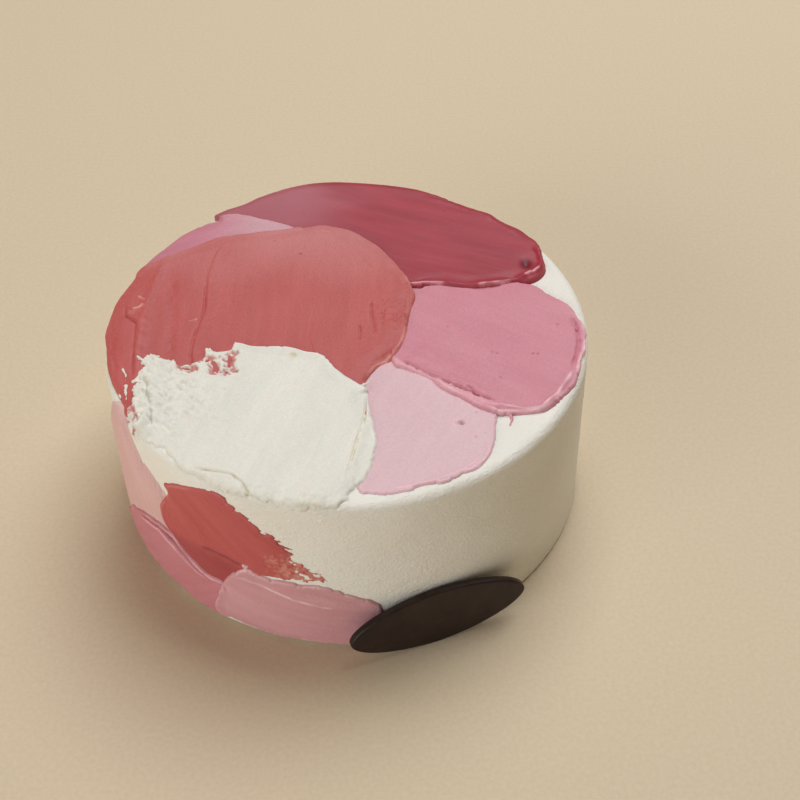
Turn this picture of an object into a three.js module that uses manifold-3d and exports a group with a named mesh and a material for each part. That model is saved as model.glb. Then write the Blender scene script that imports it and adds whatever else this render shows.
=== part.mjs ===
// A mini cake 120 mm across: a low round cake under smooth cream, with overlapping palette-knife smears of
// tinted buttercream on its top and on the front left of its side, and an oval chocolate plaque stood
// against its foot. Millimetres, +Z up. The origin is the middle of the flat base; the front faces -Y.
import * as THREE from "three";
import { mergeVertices } from "three/addons/utils/BufferGeometryUtils.js";
import Module from "manifold-3d";

const wasm = await Module();
wasm.setup();

const CAKE_RADIUS = 60;
const CAKE_HEIGHT = 50;
const TOP_EDGE_RADIUS = 2.2; // the scraper leaves the top edge softly rounded
const FOOT_RADIUS = 0.8;
const CAKE_FACETS = 96;
const EDGE_STEPS = 5;

const SKIN_GAP = 0.12; // clearance between the cream and a smear that lies on it
const SEAM_GAP = 0.3; // clearance between a smear and one that overlaps it
const SUNK = 1.5; // how far a smear's raw block reaches into the cream before it is trimmed
const CUTTER_RISE = 6; // how far the room for a smear reaches out over the cream
const FLOOR_CLEARANCE = 0.6; // the side smears stop this far above the surface that the cake stands on

const PLAQUE_LENGTH = 44.8;
const PLAQUE_HEIGHT = 17.8;
const PLAQUE_THICKNESS = 2;
const PLAQUE_BEVEL = 0.5;
const PLAQUE_POINTEDNESS = 1.8; // 2 is an ellipse, and less draws the two ends out to a point
const PLAQUE_AZIMUTH = 19.5; // degrees round from the front, towards +X
const PLAQUE_LEAN = 3; // degrees, its top towards the cake
const PLAQUE_TILT = 2; // degrees in its own plane, the right end up
const PLAQUE_GAP = 0.3;
const PLAQUE_POINTS = 64;

const COLOURS = {
  cream: 0xf3efe4,
  white: 0xf5f3ea,
  coral: 0xc4605a,
  darkRose: 0xa83c4a,
  rosePink: 0xd4808f,
  dustyPink: 0xcb8492,
  lightPink: 0xe6bcc4,
  brick: 0xb54944,
  mauvePink: 0xc47780,
  chocolate: 0x2b1c18,
};

const radians = THREE.MathUtils.degToRad;
const FLAT_RADIUS = CAKE_RADIUS - TOP_EDGE_RADIUS;
const EDGE_ARC = (TOP_EDGE_RADIUS * Math.PI) / 2;

// The point lift mm off the cream, reached by going reach mm from the middle of the top, over the rounded
// edge and down the side, in the direction turn.
function onCake(reach, turn, lift) {
  let radius = reach;
  let height = CAKE_HEIGHT;
  let tip = 0;
  if (reach > FLAT_RADIUS) {
    tip = Math.min((reach - FLAT_RADIUS) / TOP_EDGE_RADIUS, Math.PI / 2);
    radius = FLAT_RADIUS + TOP_EDGE_RADIUS * Math.sin(tip);
    height = CAKE_HEIGHT - TOP_EDGE_RADIUS * (1 - Math.cos(tip));
    height -= Math.max(0, reach - FLAT_RADIUS - EDGE_ARC);
  }
  const out = radius + lift * Math.sin(tip);
  return new THREE.Vector3(out * Math.cos(turn), out * Math.sin(turn), height + lift * Math.cos(tip));
}

// A smear on the top is drawn in plain X and Y, and what passes the edge bends down over it.
const onTop = (x, y, lift) => onCake(Math.hypot(x, y), Math.atan2(y, x), lift);

// A smear on the side is drawn as degrees round from the front and mm above the base.
function onSide(azimuth, height, lift) {
  const turn = radians(azimuth - 90);
  const out = CAKE_RADIUS + lift;
  return new THREE.Vector3(out * Math.cos(turn), out * Math.sin(turn), height);
}

// How many mm one unit of a smear's drawing is, in each direction.
const TOP_UNITS = [1, 1];
const SIDE_UNITS = [(Math.PI * CAKE_RADIUS) / 180, 1];

function solidOf(geometry) {
  const bare = geometry.index ? geometry.toNonIndexed() : geometry.clone();
  bare.deleteAttribute("normal");
  bare.deleteAttribute("uv");
  const merged = mergeVertices(bare, 1e-4);
  return new wasm.Manifold(
    new wasm.Mesh({
      numProp: 3,
      vertProperties: merged.attributes.position.array,
      triVerts: new Uint32Array(merged.index.array),
    }),
  );
}

function geometryOf(solid) {
  const mesh = solid.getMesh();
  return new THREE.BufferGeometry()
    .setAttribute("position", new THREE.BufferAttribute(mesh.vertProperties, 3))
    .setIndex(new THREE.BufferAttribute(mesh.triVerts, 1));
}

function meshOf(name, geometry, colour, roughness) {
  const shaded = geometry.index ? geometry.toNonIndexed() : geometry;
  shaded.computeVertexNormals();
  const material = new THREE.MeshStandardMaterial({ color: colour, roughness, metalness: 0 });
  const mesh = new THREE.Mesh(shaded, material);
  mesh.name = name;
  return mesh;
}

// The cream-covered cake as a turned shape, grown on every side but its base.
function cakeGeometry(grow) {
  const profile = [new THREE.Vector2(0, -grow)];
  profile.push(new THREE.Vector2(CAKE_RADIUS - FOOT_RADIUS + grow, -grow));
  profile.push(new THREE.Vector2(CAKE_RADIUS + grow, FOOT_RADIUS));
  for (let i = 0; i <= EDGE_STEPS; i++) {
    const tip = (Math.PI / 2) * (1 - i / EDGE_STEPS);
    profile.push(
      new THREE.Vector2(
        FLAT_RADIUS + (TOP_EDGE_RADIUS + grow) * Math.sin(tip),
        CAKE_HEIGHT - TOP_EDGE_RADIUS + (TOP_EDGE_RADIUS + grow) * Math.cos(tip),
      ),
    );
  }
  profile.push(new THREE.Vector2(0, CAKE_HEIGHT + grow));
  return new THREE.LatheGeometry(profile, CAKE_FACETS).rotateX(Math.PI / 2);
}

// The smears' rings, as mm in from the edge, where the lip is, and then as shares of the way left to the middle.
const RIM_RINGS = [0, 0.9, 2, 4];
const INNER_RINGS = [0.7, 0.35];
const EDGE_SHARE = 0.45; // the edge's own height, as a share of the smear's thickness
const LIP_PLACE = 1.3; // mm in from the edge
const LIP_WIDTH = 1.4;
const LEAST_LIP = 0.25; // as a share of the lip where it is highest
const SECOND_SCALLOPS = 0.8; // the finer scallops' depth, as a share of the broader ones'
const RIDGE_START = [-0.1, 0.15]; // where a ridge rises and where it sinks again, as shares of its length
const RIDGE_END = [0.8, 1.1];
const RIDGE_LONG_SIDE = 2.5; // how much wider its gentle side is than its steep one

// How much the lip rises on the side of the smear that faces this way from its middle: fully where the knife
// ended its stroke, and hardly at all where it began.
function lipAt(smear, facing) {
  const towards = Math.max(0, Math.cos(facing - radians(smear.lipTowards)));
  return smear.lip * THREE.MathUtils.lerp(LEAST_LIP, 1, towards);
}

// A ridge that the knife's edge leaves is a straight crest with a steep side and a gentle one.
function ridgeLift({ from, to, rise, width }, x, y) {
  const run = [to[0] - from[0], to[1] - from[1]];
  const length = Math.hypot(...run);
  const way = [run[0] / length, run[1] / length];
  const share = ((x - from[0]) * way[0] + (y - from[1]) * way[1]) / length;
  const across = (y - from[1]) * way[0] - (x - from[0]) * way[1];
  const risen = THREE.MathUtils.smoothstep(share, ...RIDGE_START);
  const sunk = THREE.MathUtils.smoothstep(share, ...RIDGE_END);
  const side = across < 0 ? width : width * RIDGE_LONG_SIDE;
  return rise * risen * (1 - sunk) * Math.exp(-((across / side) ** 2));
}

// A smear's height over the cream, inset mm in from its edge.
function smearLift(smear, x, y, inset, facing) {
  const risen = Math.min(1, inset / LIP_PLACE);
  const lip = lipAt(smear, facing) * Math.exp(-(((inset - LIP_PLACE) / LIP_WIDTH) ** 2));
  const ridges = (smear.ridges ?? []).reduce((sum, ridge) => sum + ridgeLift(ridge, x, y), 0);
  return smear.thickness * THREE.MathUtils.lerp(EDGE_SHARE, 1, risen) + lip + ridges * risen;
}

// The edge as points at equal steps round a smooth closed curve, with small uneven scallops. A smear's scallops
// are how many of the broader ones go round it, and ragged is how far they stand out, in mm.
function edgePoints(smear) {
  const [mx, my] = smear.middle;
  const curve = new THREE.CatmullRomCurve3(
    smear.outline.map(([x, y]) => new THREE.Vector3(x - mx, y - my, 0)),
    true,
    "centripetal",
  );
  const points = curve.getSpacedPoints(smear.spokes).slice(0, smear.spokes);
  points.forEach((point, i) => {
    const turn = (2 * Math.PI * i) / smear.spokes;
    const broad = Math.sin(smear.scallops * turn);
    const fine = Math.sin((2 * smear.scallops + 3) * turn + 1);
    point.setLength(point.length() + smear.ragged * (broad + SECOND_SCALLOPS * fine));
  });
  return points;
}

// A smear's closed block: rings from its edge in to its middle, lifted off the cream by liftOf and grown
// outwards by grow mm, over a plain underside sunk in the cream.
function smearBlock(smear, grow, liftOf) {
  const [mx, my] = smear.middle;
  const [unitX, unitY] = smear.on === onTop ? TOP_UNITS : SIDE_UNITS;
  const spokes = edgePoints(smear).map(({ x, y }) => ({
    x,
    y,
    length: Math.hypot(x * unitX, y * unitY),
    facing: Math.atan2(y * unitY, x * unitX),
  }));
  const corners = [];
  const addCorner = (x, y, lift) => corners.push(smear.on(x, y, lift)) - 1;
  const addRing = (insetOf, heightOf) =>
    spokes.map((spoke) => {
      const inset = insetOf(spoke);
      const way = (1 - inset / spoke.length) * (1 + grow / spoke.length);
      const [x, y] = [mx + spoke.x * way, my + spoke.y * way];
      return addCorner(x, y, heightOf(x, y, inset, spoke.facing));
    });

  const last = RIM_RINGS.at(-1);
  const rings = [addRing(() => 0, () => -SUNK)];
  for (const inset of RIM_RINGS) rings.push(addRing(() => inset, liftOf));
  for (const share of INNER_RINGS) {
    rings.push(addRing((spoke) => spoke.length - share * (spoke.length - last), liftOf));
  }
  const crest = addCorner(mx, my, liftOf(mx, my, last, 0));
  const foot = addCorner(mx, my, -SUNK);

  const faces = [];
  spokes.forEach((_, i) => {
    const j = (i + 1) % spokes.length;
    for (let k = 1; k < rings.length; k++) {
      const [outer, inner] = [rings[k - 1], rings[k]];
      faces.push(outer[i], outer[j], inner[j], outer[i], inner[j], inner[i]);
    }
    faces.push(rings.at(-1)[i], rings.at(-1)[j], crest);
    faces.push(rings[0][j], rings[0][i], foot);
  });
  return solidOf(new THREE.BufferGeometry().setFromPoints(corners).setIndex(faces));
}

// The smear as it was laid on, and the room that it needs in the smears under it.
const laidSmear = (smear) => smearBlock(smear, 0, (...place) => smearLift(smear, ...place));
const roomFor = (smear) => smearBlock(smear, SEAM_GAP, () => CUTTER_RISE);

// The smears in the order in which they were laid on, each over those before it. An outline runs anticlockwise
// as its face is looked at, and where a later smear covers it, it is a plain guess.
const SMEARS = [
  {
    name: "top_smear_light_pink",
    colour: COLOURS.lightPink,
    on: onTop,
    middle: [19, -37],
    outline: [[24, -20], [12, -14], [5, -21], [3, -40], [2, -53.5], [8, -55.5], [15, -54.5], [25, -51], [31, -47],
      [34.5, -40], [36, -33]],
    thickness: 1,
    lip: 0.7,
    lipTowards: -70,
    scallops: 5,
    ragged: 0.12,
    spokes: 56,
  },
  {
    name: "top_smear_rose_pink",
    colour: COLOURS.rosePink,
    on: onTop,
    middle: [36, -8],
    outline: [[45, 15.5], [38, 17], [24, 18], [12, 12], [10, -4], [12.5, -15], [20, -21.5], [27, -28], [34, -32.2],
      [43, -32.6], [50, -28.5], [55, -20], [58, -11], [58.8, -3], [56.5, 5], [52, 11]],
    thickness: 1.3,
    lip: 0.9,
    lipTowards: -80,
    scallops: 8,
    ragged: 0.14,
    spokes: 68,
  },
  {
    name: "top_smear_dark_rose",
    colour: COLOURS.darkRose,
    on: onTop,
    middle: [12, 36],
    outline: [[-37, 46], [-26, 38], [-8, 20], [16, 14.2], [24, 14.6], [31, 13], [38, 13.4], [47, 15], [51, 18.5],
      [51.8, 24], [48.5, 32], [43, 39.5], [32, 48], [21, 54], [10, 58.5], [0, 60.6], [-11, 60.5], [-20, 57],
      [-30, 51]],
    thickness: 1.5,
    lip: 0.9,
    lipTowards: -50,
    scallops: 7,
    ragged: 0.16,
    ridges: [
      { from: [-22, 52], to: [38, 34], rise: 0.35, width: 1.6 },
      { from: [-4, 47], to: [46, 24], rise: 0.3, width: 1.4 },
    ],
    spokes: 72,
  },
  {
    name: "top_smear_dusty_pink",
    colour: COLOURS.dustyPink,
    on: onTop,
    middle: [-36, 33],
    outline: [[-14, 38], [-20, 43], [-27, 46.2], [-33, 46], [-39, 43.2], [-45, 40], [-50, 34.5], [-54, 27],
      [-55, 20], [-44, 20], [-26, 28]],
    thickness: 1.3,
    lip: 0.4,
    lipTowards: 110,
    scallops: 5,
    ragged: 0.15,
    spokes: 44,
  },
  {
    name: "top_smear_coral",
    colour: COLOURS.coral,
    on: onTop,
    middle: [-20, 6],
    outline: [[-14, 40], [-21, 38.6], [-29, 38.6], [-36, 36], [-42, 32.5], [-50, 29.5], [-55, 24], [-58.5, 16],
      [-60.6, 6], [-60.4, -4], [-58.6, -14], [-55, -23.5], [-50.5, -31], [-32, -27], [-12, -27], [3, -24],
      [6.6, -19], [11, -14.6], [13.6, -9], [15.6, 0], [17.2, 9], [16, 16.5], [12.5, 22], [9.5, 28], [5.5, 34],
      [0, 38.2], [-7, 40.6]],
    thickness: 1.9,
    lip: 0.7,
    lipTowards: -10,
    scallops: 9,
    ragged: 0.16,
    ridges: [
      { from: [-36.5, 29], to: [-39, -12], rise: 0.45, width: 1 },
      { from: [-53, 12], to: [-51, -14], rise: 0.6, width: 1.1 },
      { from: [3, 34], to: [13, 14], rise: 0.3, width: 1.1 },
    ],
    spokes: 84,
  },
  {
    name: "top_smear_white_cream",
    colour: COLOURS.white,
    on: onTop,
    middle: [-20, -34],
    outline: [[4.5, -22.5], [0, -19], [-3.5, -14.5], [-6, -11], [-10, -9], [-19, -8], [-27, -6.4], [-30, -9.2],
      [-34, -9.6], [-38, -13.4], [-43, -11.6], [-50, -11], [-49.6, -16], [-51.4, -21], [-51, -29], [-49, -34],
      [-44, -40], [-39, -45.5], [-31, -50.5], [-23, -55], [-14, -60], [-5, -61.2], [1, -59], [4.6, -51],
      [7.2, -42], [6.6, -32]],
    thickness: 2.3,
    lip: 0.7,
    lipTowards: 10,
    scallops: 13,
    ragged: 0.35,
    ridges: [
      { from: [-47, -16], to: [-44, -36], rise: 0.6, width: 1.2 },
      { from: [-36, -12], to: [-33, -38], rise: 0.5, width: 2.2 },
      { from: [4, -26], to: [0, -50], rise: 0.5, width: 1 },
      { from: [-37, -45], to: [-17, -57], rise: 0.5, width: 1.2 },
    ],
    spokes: 96,
  },
  {
    name: "side_smear_light_pink",
    colour: COLOURS.lightPink,
    on: onSide,
    middle: [-74, 25],
    outline: [[-64, 47.6], [-70, 46], [-78, 42.5], [-89, 38], [-98, 31], [-104, 21], [-102, 10], [-94, 4],
      [-80, 2.4], [-62, 6], [-48, 14], [-42, 25], [-45, 34], [-50, 41], [-56, 46.2]],
    thickness: 1.5,
    lip: 0.7,
    lipTowards: 150,
    scallops: 5,
    ragged: 0.2,
    spokes: 60,
  },
  {
    name: "side_smear_brick",
    colour: COLOURS.brick,
    on: onSide,
    middle: [-31, 32],
    outline: [[-48, 30], [-47, 24], [-42, 18], [-34, 14.5], [-25, 17], [-20, 24], [-14, 26.5], [-10.5, 29.5],
      [-13, 34], [-15.5, 38], [-21, 42], [-25, 45], [-27.5, 47.6], [-32, 47.6], [-38, 45.5], [-44.5, 40.5],
      [-46, 36]],
    thickness: 0.8,
    lip: 0.2,
    lipTowards: 150,
    scallops: 12,
    ragged: 0.22,
    spokes: 68,
  },
  {
    name: "side_smear_mauve_pink",
    colour: COLOURS.mauvePink,
    on: onSide,
    middle: [-53, 11],
    outline: [[-47, 24.8], [-54, 23], [-61, 19.4], [-67, 14.5], [-73, 8.5], [-77, 2.4], [-66, 1.2], [-48, 1.2],
      [-30, 2], [-27, 8], [-29, 15.4], [-37, 17.6], [-42, 20.6]],
    thickness: 1.2,
    lip: 0.9,
    lipTowards: 60,
    scallops: 5,
    ragged: 0.14,
    spokes: 48,
  },
  {
    name: "side_smear_low_pink",
    colour: COLOURS.mauvePink,
    on: onSide,
    middle: [-14, 11],
    outline: [[-30, 15.6], [-33, 8], [-32, 2], [-22, 1.2], [-4, 1.2], [6, 2.2], [8, 8], [6.4, 14.5], [2.5, 18.8],
      [-2, 21.2], [-8, 23], [-14, 23.4], [-19, 22.8], [-23, 24.4], [-25.4, 23.4], [-28, 19.6]],
    thickness: 0.8,
    lip: 0.7,
    lipTowards: 80,
    scallops: 7,
    ragged: 0.14,
    ridges: [{ from: [-24, 20.4], to: [-2, 14.2], rise: 0.25, width: 1 }],
    spokes: 64,
  },
];

// Each smear, trimmed by the cream that it lies on and by the smears laid on after it. What a trim leaves
// loose is dropped.
function trimmedSmears() {
  const cake = solidOf(cakeGeometry(SKIN_GAP));
  const floor = solidOf(
    new THREE.BoxGeometry(4 * CAKE_RADIUS, 4 * CAKE_RADIUS, CAKE_RADIUS).translate(
      0,
      0,
      FLOOR_CLEARANCE - CAKE_RADIUS / 2,
    ),
  );
  const rooms = SMEARS.map(roomFor);
  return SMEARS.map((smear, i) => {
    let solid = laidSmear(smear).subtract(cake).subtract(floor);
    for (const room of rooms.slice(i + 1)) solid = solid.subtract(room);
    const largest = solid.decompose().sort((a, b) => b.volume() - a.volume())[0];
    return meshOf(smear.name, geometryOf(largest), smear.colour, 0.6);
  });
}

// The oval plaque lies in the XY plane with its front up, and is then stood against the cake's foot.
function plaque() {
  const half = [PLAQUE_LENGTH / 2 - PLAQUE_BEVEL, PLAQUE_HEIGHT / 2 - PLAQUE_BEVEL];
  const oval = new THREE.Shape();
  for (let i = 0; i < PLAQUE_POINTS; i++) {
    const turn = (2 * Math.PI * i) / PLAQUE_POINTS;
    const bow = (value) => Math.sign(value) * Math.abs(value) ** (2 / PLAQUE_POINTEDNESS);
    const point = [half[0] * bow(Math.cos(turn)), half[1] * bow(Math.sin(turn))];
    if (i === 0) oval.moveTo(...point);
    else oval.lineTo(...point);
  }
  const blank = new THREE.ExtrudeGeometry(oval, {
    depth: PLAQUE_THICKNESS - 2 * PLAQUE_BEVEL,
    bevelEnabled: true,
    bevelThickness: PLAQUE_BEVEL,
    bevelSize: PLAQUE_BEVEL,
    bevelSegments: 2,
    steps: 1,
  }).translate(0, 0, PLAQUE_BEVEL);

  const mesh = meshOf("chocolate_plaque", geometryOf(solidOf(blank)), COLOURS.chocolate, 0.35);
  mesh.rotation.set(radians(90 - PLAQUE_LEAN), 0, 0);
  mesh.rotateZ(radians(PLAQUE_TILT));
  mesh.updateMatrix();
  const standing = new THREE.Box3().setFromBufferAttribute(
    mesh.geometry.attributes.position.clone().applyMatrix4(mesh.matrix),
  );
  mesh.position.z = -standing.min.z;
  mesh.position.y = -(CAKE_RADIUS + PLAQUE_GAP) - standing.max.y;
  const stand = new THREE.Group();
  stand.rotation.z = radians(PLAQUE_AZIMUTH);
  stand.add(mesh);
  return stand;
}

const cake = new THREE.Group();
cake.name = "mini_cake";
cake.add(meshOf("cream_cake", geometryOf(solidOf(cakeGeometry(0))), COLOURS.cream, 0.6));
cake.add(...trimmedSmears());
cake.add(plaque());

export default cake;
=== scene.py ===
import math
from dataclasses import dataclass

import bpy
import numpy as np
from mathutils import Matrix, Vector
from mathutils.geometry import delaunay_2d_cdt


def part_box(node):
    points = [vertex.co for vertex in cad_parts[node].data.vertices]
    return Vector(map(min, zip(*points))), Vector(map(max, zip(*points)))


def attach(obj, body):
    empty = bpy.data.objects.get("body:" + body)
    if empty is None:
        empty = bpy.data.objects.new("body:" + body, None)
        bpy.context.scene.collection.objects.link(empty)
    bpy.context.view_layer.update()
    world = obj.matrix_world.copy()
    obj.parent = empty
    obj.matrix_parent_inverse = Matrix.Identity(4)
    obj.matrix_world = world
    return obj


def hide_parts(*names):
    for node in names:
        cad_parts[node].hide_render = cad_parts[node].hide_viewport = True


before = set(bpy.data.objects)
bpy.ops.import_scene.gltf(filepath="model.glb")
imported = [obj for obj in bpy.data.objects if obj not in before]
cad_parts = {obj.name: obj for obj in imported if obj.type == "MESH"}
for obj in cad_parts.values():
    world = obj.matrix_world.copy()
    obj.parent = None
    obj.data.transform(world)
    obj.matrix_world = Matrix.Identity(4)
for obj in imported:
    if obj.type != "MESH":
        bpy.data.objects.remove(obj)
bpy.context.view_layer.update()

MM = 0.001

# The cake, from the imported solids
CAKE_LOW, CAKE_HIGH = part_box("cream_cake")
CAKE_RADIUS = (CAKE_HIGH.x - CAKE_LOW.x) / 2 / MM
CAKE_HEIGHT = CAKE_HIGH.z / MM
TOP_EDGE_RADIUS = 2.2
FOOT_RADIUS = 0.8
FLAT_RADIUS = CAKE_RADIUS - TOP_EDGE_RADIUS
EDGE_ARC = TOP_EDGE_RADIUS * math.pi / 2
SIDE_START = FLAT_RADIUS + EDGE_ARC

# How finely the smears are modelled, and how they are let into the cream
GRID = 0.25
SKIRT = 0.7  # a smear's surface runs on this far past its edge, diving under what it lies on
DIVE = 1.6  # mm down for each mm past the edge
BURIED = 1.3  # what lies this far inside a later smear's edge isn't made
SUNK = 0.9  # a smear's hidden underside is this far into the cream
UNDERSIDE_STEP = 16  # grid steps between the points of that underside
KNIFE_REACH = 7.0  # mm over which the knife levels what it covers
LEVEL_FROM = 3  # mm inside its edge, where a smear lies on levelled ground
FULL_FROM = 5  # mm inside its edge, where it has its full thickness
FILM = 0.06  # what is left of a smear where it is scraped off


# Noise: a hashed lattice of fixed values, the same on every run

dice = np.random.default_rng(12)
SHUFFLE = dice.permutation(256)
LATTICE = dice.uniform(-1, 1, 256)


def lattice_at(i, j, k):
    """The fixed value at a lattice corner."""
    return LATTICE[SHUFFLE[(SHUFFLE[(SHUFFLE[i & 255] + j) & 255] + k) & 255]]


def lumps(x, y, z=0.0):
    """Smooth uneven lumps about 1 across, from about -1 to 1."""
    x, y, z = np.broadcast_arrays(np.asarray(x, float), y, z)
    cells = [np.floor(c).astype(int) for c in (x, y, z)]
    parts = [c - f for c, f in zip((x, y, z), cells)]
    blends = [p * p * p * (p * (p * 6 - 15) + 10) for p in parts]
    total = 0.0
    for di in (0, 1):
        for dj in (0, 1):
            for dk in (0, 1):
                share = 1.0
                for step, blend in zip((di, dj, dk), blends):
                    share = share * (blend if step else 1 - blend)
                total = total + share * lattice_at(cells[0] + di, cells[1] + dj, cells[2] + dk)
    return total


def lumpy(area, size, seed):
    """Smooth lumps of this size in mm on a map."""
    return lumps(area.u / size, area.v / size, seed)


def rough(area, size, octaves, seed):
    """Lumps of this size in mm on a map, with finer ones over them."""
    total = 0.0
    for octave in range(octaves):
        scale = 2.0**octave / size
        u, v = area.u * scale + seed, area.v * scale - seed
        total = total + 0.5**octave * lumps(u, v, seed * 1.7 + octave * 9.3)
    return total


def eased(value, start, end):
    """0 before start, 1 past end and smooth between."""
    share = np.clip((value - start) / (end - start), 0, 1)
    return share * share * (3 - 2 * share)


def bell(distance, width):
    """1 at no distance, dying away smoothly over this width."""
    return np.exp(-((distance / width) ** 2))


# The cake's bare form and its two maps


def on_cake(reach, turn):
    """The point reached by going reach mm from the middle of the top, over the rounded edge and down the
    side, in the direction turn, and the way out of the cake there."""
    tip = np.clip((reach - FLAT_RADIUS) / TOP_EDGE_RADIUS, 0, math.pi / 2)
    radius = np.minimum(reach, FLAT_RADIUS) + TOP_EDGE_RADIUS * np.sin(tip)
    height = CAKE_HEIGHT - TOP_EDGE_RADIUS * (1 - np.cos(tip)) - np.maximum(0, reach - SIDE_START)
    point = np.stack([radius * np.cos(turn), radius * np.sin(turn), height], -1)
    out = np.stack([np.sin(tip) * np.cos(turn), np.sin(tip) * np.sin(turn), np.cos(tip)], -1)
    return point, out


def place_on_top(u, v):
    """On the top's map u is X and v is Y, and what passes the edge bends down over it."""
    return on_cake(np.hypot(u, v), np.arctan2(v, u))


def place_on_side(u, v):
    """On the side's map u is mm round the cake from the front, towards +X, and v is the height."""
    return on_cake(SIDE_START + (CAKE_HEIGHT - TOP_EDGE_RADIUS) - v, u / CAKE_RADIUS - math.pi / 2)


def cream_lift(point):
    """How far the scraped cream stands off its turned form: a slow waviness and the scraper's faint bands."""
    x, y, z = point[..., 0], point[..., 1], point[..., 2]
    on_side = 1 - eased(z, CAKE_HEIGHT - 8, CAKE_HEIGHT)
    waves = (0.04 + 0.11 * on_side) * lumps(x / 21, y / 21, z / 26 + 5.0)
    bands = (0.02 + 0.03 * on_side) * lumps(x / 9, y / 9, z / 3.1 + 2.0)
    crumb = 0.03 * lumps((x + 0.5 * z) / 1.9, (y - 0.6 * x) / 2.2, (z + 0.4 * y) / 1.7)
    return waves + bands + crumb


class CakeMap:
    """A grid over part of the cake, and how high the cream and all that is laid on it stand at each area."""

    def __init__(self, us, vs, place_on):
        self.u, self.v = np.meshgrid(us, vs, indexing="ij")
        self.point, self.out = place_on(self.u, self.v)
        self.height = cream_lift(self.point)


# Outlines and lines on a map


def smooth_loop(corners, steps=8):
    """A closed curve through the corners, as points."""
    knots = np.array(corners, float)
    before, after, beyond = (np.roll(knots, shift, 0) for shift in (1, -1, -2))
    first = after - before
    second = 2 * before - 5 * knots + 4 * after - beyond
    third = 3 * knots - before - 3 * after + beyond
    shares = np.linspace(0, 1, steps, endpoint=False)
    spans = [0.5 * (2 * knots + first * t + second * t**2 + third * t**3) for t in shares]
    return np.stack(spans, 1).reshape(-1, 2)


def from_segment(u, v, start, end):
    """The distance from a straight segment, the share of the way along it, and which side of it."""
    run = end - start
    du, dv = u - start[0], v - start[1]
    share = np.clip((du * run[0] + dv * run[1]) / max(run @ run, 1e-12), 0, 1)
    distance = np.hypot(du - share * run[0], dv - share * run[1])
    return distance, share, run[0] * dv - run[1] * du


def inset_from(loop, u, v, margin=5.0):
    """How far inside the loop each place is, in mm, and less than zero outside it."""
    inset = np.full(u.shape, -margin)
    low, high = loop.min(0) - margin, loop.max(0) + margin
    near = (u > low[0]) & (u < high[0]) & (v > low[1]) & (v < high[1])
    nu, nv = u[near], v[near]
    distance = np.full(nu.shape, np.inf)
    inside = np.zeros(nu.shape, bool)
    for start, end in zip(loop, np.roll(loop, -1, 0)):
        distance = np.minimum(distance, from_segment(nu, nv, start, end)[0])
        if start[1] != end[1]:
            crossing = start[0] + (nv - start[1]) * (end[0] - start[0]) / (end[1] - start[1])
            inside ^= ((start[1] > nv) != (end[1] > nv)) & (nu < crossing)
    inset[near] = np.where(inside, distance, -distance)
    return np.maximum(inset, -margin)


def from_line(area, points):
    """The distance from a bent line, on its left above zero and on its right below it, and the share of the
    way along it."""
    line = np.array(points, float)
    lengths = np.hypot(*np.diff(line, axis=0).T)
    starts = np.concatenate([[0], np.cumsum(lengths)])
    best = np.full(area.u.shape, np.inf)
    side = along = np.ones(area.u.shape)
    for i, (start, end) in enumerate(zip(line[:-1], line[1:])):
        distance, share, left = from_segment(area.u, area.v, start, end)
        closer = distance < best
        best = np.where(closer, distance, best)
        side = np.where(closer, np.sign(left), side)
        along = np.where(closer, (starts[i] + share * lengths[i]) / starts[-1], along)
    return best * side, along


def tapered(along):
    """A knife mark comes in and goes out gently."""
    return eased(along, 0, 0.12) * (1 - eased(along, 0.85, 1))


def ridge(area, points, rise, width):
    """A mark along a line: a crest, or a groove where rise is below zero."""
    across, along = from_line(area, points)
    uneven = 1 + 0.35 * lumpy(area, 1.3, rise * 50)
    return rise * bell(across, width) * tapered(along) * uneven


def fold(area, points, rise, width):
    """A step where the knife came down again: it stands up sharply on the left of the line and dies away."""
    across, along = from_line(area, points)
    uneven = 1 + 0.3 * lumpy(area, 1.7, rise * 40)
    step = eased(across, -0.25, 0.3) * np.exp(-np.maximum(across, 0) / width)
    return rise * step * tapered(along) * uneven


def line_tint(area, points, width):
    """From 0 to 1 near a line, for a tint that lies in a crease."""
    across, along = from_line(area, points)
    return bell(across, width) * tapered(along)


def from_point(area, centre, stretch=1.0):
    """The distance from a point, measured stretched this much in v."""
    return np.hypot(area.u - centre[0], (area.v - centre[1]) / stretch)


def heap(area, centre, rise, width, stretch=1.0):
    """A low heap round a point."""
    return rise * bell(from_point(area, centre, stretch), width)


def pit(area, centre, radius, depth):
    """A burst air bubble with a faint rim."""
    distance = from_point(area, centre)
    return 0.25 * depth * bell(distance - 1.5 * radius, 0.5 * radius) - depth * bell(distance, radius)


def scattered_pits(area, low, high, count, seed):
    """Small pits at fixed random places in a box on the map."""
    draw = np.random.default_rng(seed)
    total = 0.0
    for _ in range(count):
        total = total + pit(area, draw.uniform(low, high), draw.uniform(0.16, 0.34), draw.uniform(0.1, 0.3))
    return total


def wobbled(area, points, wander):
    """The distance from a bent line, its edges wandering a little, and the share of the way along it."""
    across, along = from_line(area, points)
    return np.abs(across) + wander * rough(area, 1.0, 2, 5.0), along


def along_and_across(area, angle):
    """How far each place is along and across a direction in degrees."""
    turn = math.radians(angle)
    along = area.u * math.cos(turn) + area.v * math.sin(turn)
    return along, area.v * math.cos(turn) - area.u * math.sin(turn)


def with_dab(area, inset, points, radius):
    """Adds a crumb or a thin tail of icing along a line to what the outline holds."""
    distance, along = wobbled(area, points, 0.5 * radius)
    return np.maximum(inset, radius * (1 - 0.5 * along) - distance)


def with_hole(area, inset, points, radius):
    """Takes a torn hole along a line out of it."""
    distance, along = wobbled(area, points, 0.4)
    return np.minimum(inset, distance - radius * (0.5 + tapered(along)) / 1.5)


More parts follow.
